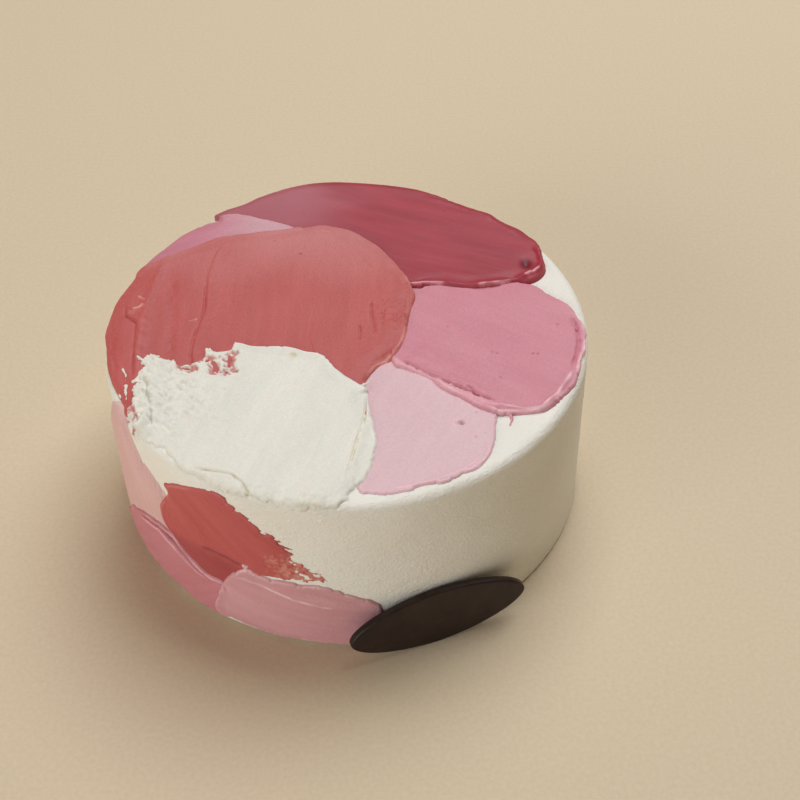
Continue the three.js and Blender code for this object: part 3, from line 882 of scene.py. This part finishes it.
SIDE_SMEARS = [
    Smear(
        "side_smear_light_pink",
        "side_pink_buttercream",
        side_outline(
            [(-60, 50), (-65, 50.6), (-70, 46.5), (-75, 41.5), (-80, 36), (-87, 30.5), (-96, 22),
             (-100, 12), (-95, 4), (-82, 2), (-62, 4), (-47, 12), (-45, 24), (-45, 30), (-45, 36),
             (-48.5, 39.2), (-53, 41.6), (-56.5, 45.4)]
        ),
        thickness=1.3, edge=0.6,
        marks=[
            (heap, (-93, 15), 0.5, 13),  # thickest where the knife set it down
            (fold, [(-64, 49), (-66.5, 42), (-66, 33), (-63, 22), (-60, 14)], 0.22, 3.0),
            (strokes, 0.06, 112, 26, 2.6, 5.0),
        ],
        trim=[(side_pink_drawn_edge,)],
        bead_towards=150, shoulder=0.9, ragged=0.4, stroke=105,
    ),
    Smear(
        "side_smear_brick",
        "brick_buttercream",
        side_outline(
            [(-47.6, 29), (-47.2, 26.6), (-45, 22), (-40, 17), (-34, 14.5), (-27, 16.5), (-25, 20),
             (-21, 23), (-14, 24), (-5.6, 24.6), (-7.2, 27), (-10, 29.6), (-12.2, 32), (-13, 35),
             (-15.9, 37.9), (-18.7, 39.8), (-22.4, 43.2), (-25.3, 45.4), (-28.2, 48.4), (-31, 48),
             (-34.7, 46.6), (-38.4, 45), (-41.4, 43.4), (-43.4, 41.8), (-45.2, 40.4), (-44.2, 38.4),
             (-46, 35), (-47.4, 32)]
        ),
        thickness=0.6, edge=0.4,
        marks=[
            (strokes, 0.02, -45, 14, 4.0, 9.0),
            (fold, BRICK_CREASE, 0.3, 3.0),
            (ridge, BRICK_CREASE, -0.3, 0.5),
        ],
        trim=[(brick_brushed_edge,)],
        scraped=[(brick_film,)],
        tint_sheen_and_shade=[(brick_darkening_and_crease_shade,)],
        bead=0.04, bead_towards=150, ragged=0.2, stroke=-45, wavy=0.4,
    ),
    Smear(
        "side_smear_mauve_pink",
        "mauve_pink_buttercream",
        side_outline(
            [(-45.4, 22.6), (-48.6, 24.7), (-52.6, 23.6), (-57.4, 21.2), (-61, 18.4), (-65, 15), (-70, 9),
             (-75, 2.6), (-66, 1.2), (-48, 1.2), (-31, 2), (-28, 8), (-30, 15.4), (-34, 16.2), (-38, 18),
             (-42, 20)]
        ),
        thickness=1.1, edge=0.7,
        marks=[
            (strokes, 0.06, 40, 20, 3.0, 10.0),
            (ridge, MAUVE_CREST, 0.3, 0.3),
            (ridge, MAUVE_CREASE, -0.35, 0.3),
        ],
        tint_sheen_and_shade=[(line_tint, MAUVE_CREASE, 0.34)],  # painted shade: a thread of dark crimson in the crease along its top
        highlight_lines=[MAUVE_CREST],
        lip_width=0.26, bead=0.1, bead_towards=60, ragged=0.3, stroke=40,
    ),
    Smear(
        "side_smear_low_pink",
        "low_pink_buttercream",
        side_outline(
            [(-29.4, 17), (-33, 8), (-32, 2), (-22, 1.2), (-4, 1.2), (6, 2), (8, 8), (6.6, 14.4),
             (5.2, 16.2), (2.1, 18.6), (-1.2, 20.6), (-4.8, 22.4), (-9.6, 23), (-14.1, 23.4), (-19.4, 23.2),
             (-21.6, 24.2), (-23.6, 25), (-26.2, 22.4)]
        ),
        thickness=0.8, edge=0.6,
        marks=[
            (strokes, 0.05, -10, 20, 3.0, 11.0),
            (fold, LOW_PINK_EDGE, 0.2, 2.4),
            (ridge, LOW_PINK_EDGE, 0.12, 0.26),
            (fold, [(1, 17.6), (-8, 20), (-20, 21.8)], 0.14, 1.4),
        ],
        trim=[(with_dab, [(-23.2, 23.2), (-24.9, 25.6)], 1.3)],
        lip_highlight=1.0,
        highlight_lines=[LOW_PINK_EDGE],
        lip_width=0.24, bead=0.16, bead_towards=80, ragged=0.6, stroke=-10,
    ),
]


# Materials


def linear(hex_colour):
    """An sRGB hex colour as the linear numbers that a shader takes."""
    parts = [int(hex_colour[i : i + 2], 16) / 255 for i in (1, 3, 5)]
    return [p / 12.92 if p <= 0.04045 else ((p + 0.055) / 1.055) ** 2.4 for p in parts] + [1.0]


def add(tree, kind, links=None, **settings):
    """A node of this kind with its settings, its inputs set to a value or linked to another node's output."""
    node = tree.nodes.new("ShaderNode" + kind)
    for name, value in settings.items():
        setattr(node, name, value)
    for socket, value in (links or {}).items():
        if isinstance(value, bpy.types.NodeSocket):
            tree.links.new(value, node.inputs[socket])
        else:
            node.inputs[socket].default_value = value
    return node


def ramp(tree, factor, *stops):
    """A colour that runs from stop to stop, each a place from 0 to 1 and a hex colour."""
    node = add(tree, "ValToRGB", {"Fac": factor})
    elements = node.color_ramp.elements
    while len(elements) < len(stops):
        elements.new(1.0)
    for element, (place, hex_colour) in zip(elements, stops):
        element.position = place
        element.color = linear(hex_colour)
    return node.outputs["Color"]


def new_material(name):
    material = bpy.data.materials.new(name)
    material.use_nodes = True
    tree = material.node_tree
    tree.nodes.clear()
    return material, tree


FAT_IOR = 1.46  # of butter, sugar in it and cocoa butter alike


def finish_surface(tree, colour, roughness, normal):
    """A principled surface that takes the material's colour, dullness and relief."""
    links = {"Base Color": colour, "Roughness": roughness, "Normal": normal, "IOR": FAT_IOR}
    surface = add(tree, "BsdfPrincipled", links)
    add(tree, "OutputMaterial", {"Surface": surface.outputs["BSDF"]})
    return surface


BUTTERCREAM_DEPTH = (1.0, 0.55, 0.45)  # how much further red light goes in it than green and blue


def soften(surface, weight, reach_mm):
    """Light goes a little way into fat and sugar and comes out again, which softens an edge."""
    surface.inputs["Subsurface Weight"].default_value = weight
    surface.inputs["Subsurface Radius"].default_value = BUTTERCREAM_DEPTH
    surface.inputs["Subsurface Scale"].default_value = reach_mm * MM


def summed(tree, *terms):
    """The sum of noises or other outputs, each with its height in mm."""
    total = None
    for output, height in terms:
        term = add(tree, "Math", {0: output, 1: height}, operation="MULTIPLY").outputs[0]
        total = term if total is None else add(tree, "Math", {0: total, 1: term}).outputs[0]
    return total


def burst_air(tree, place, apart, opened):
    """From 0 down to -1 in the small round holes that air bubbles leave, about this many mm apart."""
    air = add(tree, "TexVoronoi", {"Vector": place, "Scale": 1 / apart, "Randomness": 1.0})
    limits = {"From Min": opened * 0.3, "From Max": opened, "To Min": -1.0, "To Max": 0.0}
    return add(tree, "MapRange", {"Value": air.outputs["Distance"], **limits}).outputs[0]


def tinted_buttercream(name, tint, streak, lip, other=None, under="#e9e2d2", roughness=0.5, grain=0.1):
    """Whipped butter and icing sugar, tinted and spread with a knife: satin, in broad faint bands along the
    stroke where the tint is not quite blended in, with a painted highlight on its thin lips, showing what is
    under it where it is scraped thin, with a fine grain of sugar and a few burst air bubbles. On some mixes
    the second colour is a painted sheen and on others a painted shade, and the dark rose's under colour is a
    painted shade."""
    material, tree = new_material(name)
    lain = add(tree, "Attribute", attribute_name="lain").outputs["Vector"]

    drawn = add(tree, "Mapping", {"Vector": lain, "Scale": (1 / 30, 1 / 11, 0)}).outputs["Vector"]
    bands = add(tree, "TexNoise", {"Vector": drawn, "Scale": 1.0, "Detail": 2.0})
    scraped = add(tree, "Mapping", {"Vector": lain, "Scale": (1 / 20, 1 / 2.4, 0)}).outputs["Vector"]
    knife = add(tree, "TexNoise", {"Vector": scraped, "Scale": 1.0, "Detail": 3.0})
    unmixed = summed(tree, (bands.outputs["Fac"], 0.55), (knife.outputs["Fac"], 0.45))
    colour = ramp(tree, unmixed, (0.38, streak), (0.62, tint))
    sugar = add(tree, "TexNoise", {"Vector": lain, "Scale": 1 / 0.55, "Detail": 3.0, "Roughness": 0.7})
    limits = {"From Min": 0.35, "From Max": 0.65, "To Min": 1 - 0.5 * grain, "To Max": 1 + 0.5 * grain}
    speckle = add(tree, "MapRange", {"Value": sugar.outputs["Fac"], **limits})
    # Over the tint go its second colour, which on some mixes is a painted sheen and on others a painted
    # shade, the painted highlight on its lips and crests, and what shows where it is thin.
    for attribute, towards in (("tint_sheen_and_shade", other or tint), ("lip", lip), ("thin", under)):
        share = add(tree, "Attribute", attribute_name=attribute).outputs["Fac"]
        parts = {"Factor": share, "A": colour, "B": linear(towards)}
        colour = add(tree, "Mix", parts, data_type="RGBA").outputs["Result"]
    shown = add(tree, "VectorMath", {0: colour, "Scale": speckle.outputs[0]}, operation="SCALE")

    holes = burst_air(tree, lain, 7.0, 0.04)
    relief = summed(tree, (sugar.outputs["Fac"], grain), (knife.outputs["Fac"], 0.05), (holes, 0.12))
    bump = add(tree, "Bump", {"Height": relief, "Strength": 1.0, "Distance": MM})

    limits = {"To Min": roughness - 0.06, "To Max": roughness + 0.1}
    dull = add(tree, "MapRange", {"Value": sugar.outputs["Fac"], **limits})
    surface = finish_surface(tree, shown.outputs["Vector"], dull.outputs[0], bump.outputs["Normal"])
    soften(surface, 0.2, 1.2)
    return material


def scraped_cream(name):
    """Whipped cream cheese icing drawn smooth with a scraper: warm white and matte, with fine drag marks that
    slope round the side and small raised specks, each with a painted highlight."""
    material, tree = new_material(name)
    drawn = add(tree, "Attribute", attribute_name="drawn").outputs["Vector"]
    # Turned askew, so that no rows of the noise show
    askew = {"Scale": (1.0, 1.0, 3.0), "Rotation": (0.6, 0.5, 0.4)}
    place = add(tree, "Mapping", {"Vector": drawn, **askew}).outputs["Vector"]
    drag = add(tree, "TexNoise", {"Vector": place, "Scale": 1 / 7, "Detail": 3.0, "Roughness": 0.5})
    grain = add(tree, "TexNoise", {"Vector": drawn, "Scale": 1 / 0.7, "Detail": 3.0, "Roughness": 0.65})
    flecked = add(tree, "TexNoise", {"Vector": place, "Scale": 1 / 1.8, "Detail": 1.0})
    limits = {"From Min": 0.6, "From Max": 0.75, "To Max": 0.45}
    flecks_with_glint = add(tree, "MapRange", {"Value": flecked.outputs["Fac"], **limits})
    relief = summed(tree, (drag.outputs["Fac"], 0.25), (grain.outputs["Fac"], 0.2), (flecks_with_glint.outputs[0], 0.2))
    bump = add(tree, "Bump", {"Height": relief, "Strength": 1.0, "Distance": MM})

    cloudy = add(tree, "TexNoise", {"Vector": drawn, "Scale": 1 / 25, "Detail": 3.0})
    plain = ramp(tree, cloudy.outputs["Fac"], (0.35, "#e9e6da"), (0.65, "#eeece2"))
    # The raised specks are painted near white: a painted highlight on each.
    parts = {"Factor": flecks_with_glint.outputs[0], "A": plain, "B": linear("#fdfbf4")}
    colour = add(tree, "Mix", parts, data_type="RGBA").outputs["Result"]
    dull = add(tree, "MapRange", {"Value": grain.outputs["Fac"], "To Min": 0.52, "To Max": 0.7})
    surface = finish_surface(tree, colour, dull.outputs[0], bump.outputs["Normal"])
    soften(surface, 0.2, 1.6)
    return material


def moulded_chocolate(name):
    """Dark chocolate set in a mould: near black brown with a low waxy sheen, faintly bloomed and scuffed."""
    material, tree = new_material(name)
    place = add(tree, "TexCoord").outputs["Object"]
    bloom = add(tree, "TexNoise", {"Vector": place, "Scale": 160.0, "Detail": 5.0, "Roughness": 0.65})
    colour = ramp(tree, bloom.outputs["Fac"], (0.35, "#221512"), (0.7, "#35241e"))
    scuffs = add(tree, "TexNoise", {"Vector": place, "Scale": 900.0, "Detail": 4.0, "Roughness": 0.7})
    dull = add(tree, "MapRange", {"Value": scuffs.outputs["Fac"], "To Min": 0.3, "To Max": 0.55})
    bump = add(tree, "Bump", {"Height": scuffs.outputs["Fac"], "Strength": 0.15, "Distance": 0.1 * MM})
    surface = finish_surface(tree, colour, dull.outputs[0], bump.outputs["Normal"])
    surface.inputs["Specular IOR Level"].default_value = 0.35
    return material


# Each mix's tint, the streak where it isn't quite blended in and the painted highlight on its thin lip, and
# what else sets it apart
MIXES = {
    # Its second colour is a painted shade in its folds and on its nub; its under colour is the coral showing
    # through.
    "untinted_buttercream": (
        "#e9e7db", "#e2e1d5", "#efede3",
        {"other": "#d4c69a", "under": "#c98079", "roughness": 0.6, "grain": 0.09},
    ),
    # Its second colour is a painted sheen towards the back.
    "coral_buttercream": ("#c1605c", "#b95753", "#e4a095", {"other": "#c67876", "grain": 0.16}),
    # Its second colour is a painted sheen towards its left end; its under colour is a painted shade in the
    # hollow behind its curl.
    "dark_rose_buttercream": (
        "#a93644", "#9a2c3b", "#e3a3aa", {"other": "#ab5c66", "under": "#4a141d", "grain": 0.06}
    ),
    "rose_pink_buttercream": ("#d38c99", "#cd8492", "#f6cdd2", {"other": "#e2a4ae", "grain": 0.14}),
    # Its second colour is a painted sheen at its right end.
    "dusty_pink_buttercream": ("#c98190", "#c27a88", "#d693a0", {"other": "#cfa2aa"}),
    "light_pink_buttercream": ("#dfbdc2", "#dbb8bd", "#f4c3cc", {}),
    "side_pink_buttercream": ("#dcb4b0", "#d7aca8", "#ecd2cc", {}),
    # Its second colour darkens it below a crease and is a painted shade in the crease itself.
    "brick_buttercream": (
        "#c05c5a", "#b6514f", "#cf7873", {"other": "#94373f", "under": "#cf8a7b", "grain": 0.08}
    ),
    # Its second colour is the painted shade of dark crimson in the crease along its top.
    "mauve_pink_buttercream": ("#ca838a", "#c37a81", "#f2c0c6", {"other": "#9a3c48"}),
    "low_pink_buttercream": ("#d6a0a5", "#cf969c", "#f3d2d5", {}),
}


def dress(piece, material, node):
    """The piece takes its material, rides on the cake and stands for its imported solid."""
    piece.data.materials.append(material)
    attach(piece, "root")
    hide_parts(node)


# The cake under its cream

TURNS = 640
HIDDEN_REACH = 39  # mm from the middle of the top, within which smears hide the coat
HIDDEN_STEP = 4
RING_STEP = 0.62
SIDE_RINGS = 86
SCRAPER_SLOPE = 22  # mm that the drag marks climb and fall as they go round the side


def cream_body():
    """The whole cake as a turned grid with the scraper's unevenness, closed by its flat base."""
    foot = SIDE_START + CAKE_HEIGHT - TOP_EDGE_RADIUS - FOOT_RADIUS
    hidden = np.arange(3, HIDDEN_REACH, HIDDEN_STEP)
    flat = np.arange(HIDDEN_REACH, FLAT_RADIUS, RING_STEP)
    edge = np.linspace(FLAT_RADIUS, SIDE_START, 9)
    reaches = np.concatenate([hidden, flat, edge, np.linspace(SIDE_START, foot, SIDE_RINGS)[1:]])
    turns = np.linspace(0, 2 * math.pi, TURNS, endpoint=False)
    reach, turn = np.meshgrid(reaches, turns, indexing="ij")
    point, out = on_cake(reach, turn)
    rings = point + out * cream_lift(point)[..., None]
    base = np.stack([np.cos(turns), np.sin(turns), 0 * turns], -1) * (CAKE_RADIUS - FOOT_RADIUS)
    vertices = np.concatenate([rings.reshape(-1, 3), base, [[0, 0, CAKE_HEIGHT], [0, 0, 0]]])
    coat = mesh_object("cream_coat", vertices, ring_faces(len(reaches) + 1, TURNS))
    slope = SCRAPER_SLOPE * np.sin(turn + 2.4)
    drawn = np.stack([CAKE_RADIUS * np.cos(turn), CAKE_RADIUS * np.sin(turn), reach + slope], -1)
    paint(coat, "drawn", np.concatenate([drawn.reshape(-1, 3), np.zeros((TURNS + 2, 3))]))
    return coat


# The plaque

PLAQUE_LENGTH = 44.8
PLAQUE_HEIGHT = 17.8
PLAQUE_THICKNESS = 2.0
PLAQUE_BEVEL = 0.5
PLAQUE_POINTEDNESS = 1.8
PLAQUE_AZIMUTH = 19.5
PLAQUE_LEAN = 3.0
PLAQUE_TILT = 2.0
PLAQUE_GAP = 0.3
PLAQUE_POINTS = 180


def turned_by(degrees, axis):
    return Matrix.Rotation(math.radians(degrees), 3, axis)


def plaque_piece():
    """A moulded oval plate with a rounded edge, lying with its front up and then stood against the cake."""
    turns = np.linspace(0, 2 * math.pi, PLAQUE_POINTS, endpoint=False)
    round_oval = np.stack([np.cos(turns), np.sin(turns)], -1)
    oval = np.sign(round_oval) * np.abs(round_oval) ** (2 / PLAQUE_POINTEDNESS)
    oval = oval * (PLAQUE_LENGTH / 2, PLAQUE_HEIGHT / 2)
    outward = np.stack([np.gradient(oval[:, 1]), -np.gradient(oval[:, 0])], -1)
    outward /= np.maximum(np.linalg.norm(outward, axis=1, keepdims=True), 1e-9)

    flat = oval - outward * PLAQUE_BEVEL
    rings = [(flat * share, PLAQUE_THICKNESS) for share in np.linspace(0.08, 0.96, 14)]
    rounded = []
    for tip in np.linspace(0, math.pi / 2, 5):
        ring = oval - outward * PLAQUE_BEVEL * (1 - math.sin(tip))
        rounded.append((ring, PLAQUE_BEVEL * (1 - math.cos(tip))))
    rings += [(ring, PLAQUE_THICKNESS - height) for ring, height in rounded] + rounded[::-1]
    points = [np.insert(ring, 2, height, axis=1) for ring, height in rings]
    points = np.concatenate(points + [[[0, 0, PLAQUE_THICKNESS], [0, 0, 0]]])
    points = points @ np.array(turned_by(90 - PLAQUE_LEAN, "X") @ turned_by(PLAQUE_TILT, "Z")).T
    points[:, 2] -= points[:, 2].min()
    points[:, 1] -= points[:, 1].max() + CAKE_RADIUS + PLAQUE_GAP
    points = points @ np.array(turned_by(PLAQUE_AZIMUTH, "Z")).T
    return mesh_object("oval_plaque", points, ring_faces(len(rings), PLAQUE_POINTS))


# The photograph's view, the light and the floor

CAMERA_PLACE = (12.764, -262.001, 278.54)
CAMERA_PITCH = 44.11  # degrees below the horizon
CAMERA_ROLL = 1.45
CAMERA_LENS = 62.55
LIGHT_SIZE = 0.9
LIGHT_AIM = (0, 0, 0.03)

# Soft daylight from behind at the right, high up, and weaker fills from the front and the left, each with its
# place in metres, its power and its colour, in a warm room
LIGHTS = [
    ("window", (0.28, 0.52, 1.15), 15.0, "#f8faff"),
    ("front_fill", (-0.86, -1.05, 0.45), 9.1, "#f0f7ff"),
    ("left_fill", (-1.25, -0.5, 0.45), 3.3, "#ffecd4"),
]
ROOM_COLOUR = "#ffdba6"
ROOM_STRENGTH = 0.112

FLOOR_FLAT = 1300  # mm from the middle to where the floor starts to sweep up
FLOOR_SWEEP = 1100
FLOOR_TURNS = 96


def set_camera():
    camera = bpy.data.cameras.new("photo_view")
    camera.lens = CAMERA_LENS
    camera.sensor_width = 36
    camera.clip_start = 0.01
    viewer = bpy.data.objects.new("photo_view", camera)
    turn = turned_by(90 - CAMERA_PITCH, "X") @ turned_by(-CAMERA_ROLL, "Z")
    viewer.matrix_world = Matrix.Translation(Vector(CAMERA_PLACE) * MM) @ turn.to_4x4()
    bpy.context.scene.collection.objects.link(viewer)
    bpy.context.scene.camera = viewer


def add_light(name, place, power, hex_colour):
    """A square soft light aimed at the middle of the cake."""
    lamp = bpy.data.lights.new(name, "AREA")
    lamp.size = LIGHT_SIZE
    lamp.energy = power
    lamp.color = linear(hex_colour)[:3]
    light = bpy.data.objects.new(name, lamp)
    light.location = place
    light.rotation_euler = (Vector(LIGHT_AIM) - light.location).to_track_quat("-Z", "Y").to_euler()
    bpy.context.scene.collection.objects.link(light)


def set_room():
    world = bpy.data.worlds.new("room")
    world.use_nodes = True
    background = world.node_tree.nodes["Background"]
    background.inputs["Color"].default_value = linear(ROOM_COLOUR)
    background.inputs["Strength"].default_value = ROOM_STRENGTH
    bpy.context.scene.world = world
    bpy.context.scene.view_settings.view_transform = "Standard"


def matte_sheet(name):
    """Thick matte paper, pale and warm, with a faint fibre."""
    material, tree = new_material(name)
    place = add(tree, "TexCoord").outputs["Object"]
    fibre = add(tree, "TexNoise", {"Vector": place, "Scale": 900.0, "Detail": 3.0}).outputs["Fac"]
    colour = ramp(tree, fibre, (0.3, "#d1c0a3"), (0.7, "#d7c7ab"))
    bump = add(tree, "Bump", {"Height": fibre, "Strength": 0.1, "Distance": 0.1 * MM})
    finish_surface(tree, colour, 0.8, bump.outputs["Normal"])
    return material


def pale_floor():
    """A round sheet, far wider than the view, that sweeps up all round and is open at the top."""
    tips = np.linspace(0, math.pi / 2, 12)
    reach = np.concatenate([[FLOOR_FLAT - 200], FLOOR_FLAT + FLOOR_SWEEP * np.sin(tips)])
    rise = np.concatenate([[0], FLOOR_SWEEP * (1 - np.cos(tips))]) - 0.02
    turns = np.linspace(0, 2 * math.pi, FLOOR_TURNS, endpoint=False)
    round_about = np.stack([np.cos(turns), np.sin(turns)], -1)
    rings = [np.insert(r * round_about, 2, z, axis=1) for r, z in zip(reach, rise)]
    faces = ring_faces(len(reach), FLOOR_TURNS)[:-FLOOR_TURNS]
    floor = mesh_object("floor", np.concatenate(rings + [[[0, 0, rise[0]]]]), faces)
    floor.data.materials.append(matte_sheet("matte_pale_sheet"))


def steps(low, high):
    """The grid's places from low to high."""
    return np.arange(low, high + 0.01, GRID)


def build():
    set_camera()
    for light in LIGHTS:
        add_light(*light)
    set_room()
    pale_floor()
    dress(cream_body(), scraped_cream("scraped_cream_icing"), "cream_cake")
    mixes = {name: tinted_buttercream(name, *colours, **ways) for name, (*colours, ways) in MIXES.items()}

    top = CakeMap(steps(-63, 63), steps(-63, 64), place_on_top)
    side = CakeMap(steps(-112, 13), steps(0.6, 53), place_on_side)
    for area, smears in ((top, TOP_SMEARS), (side, SIDE_SMEARS)):
        for smear in smears:
            lay(area, smear)
        for order, smear in enumerate(smears):
            piece = smear_piece(area, smear, smears[order + 1 :])
            dress(piece, mixes[smear.mix], smear.name)
    dress(plaque_piece(), moulded_chocolate("moulded_dark_chocolate"), "chocolate_plaque")


build()
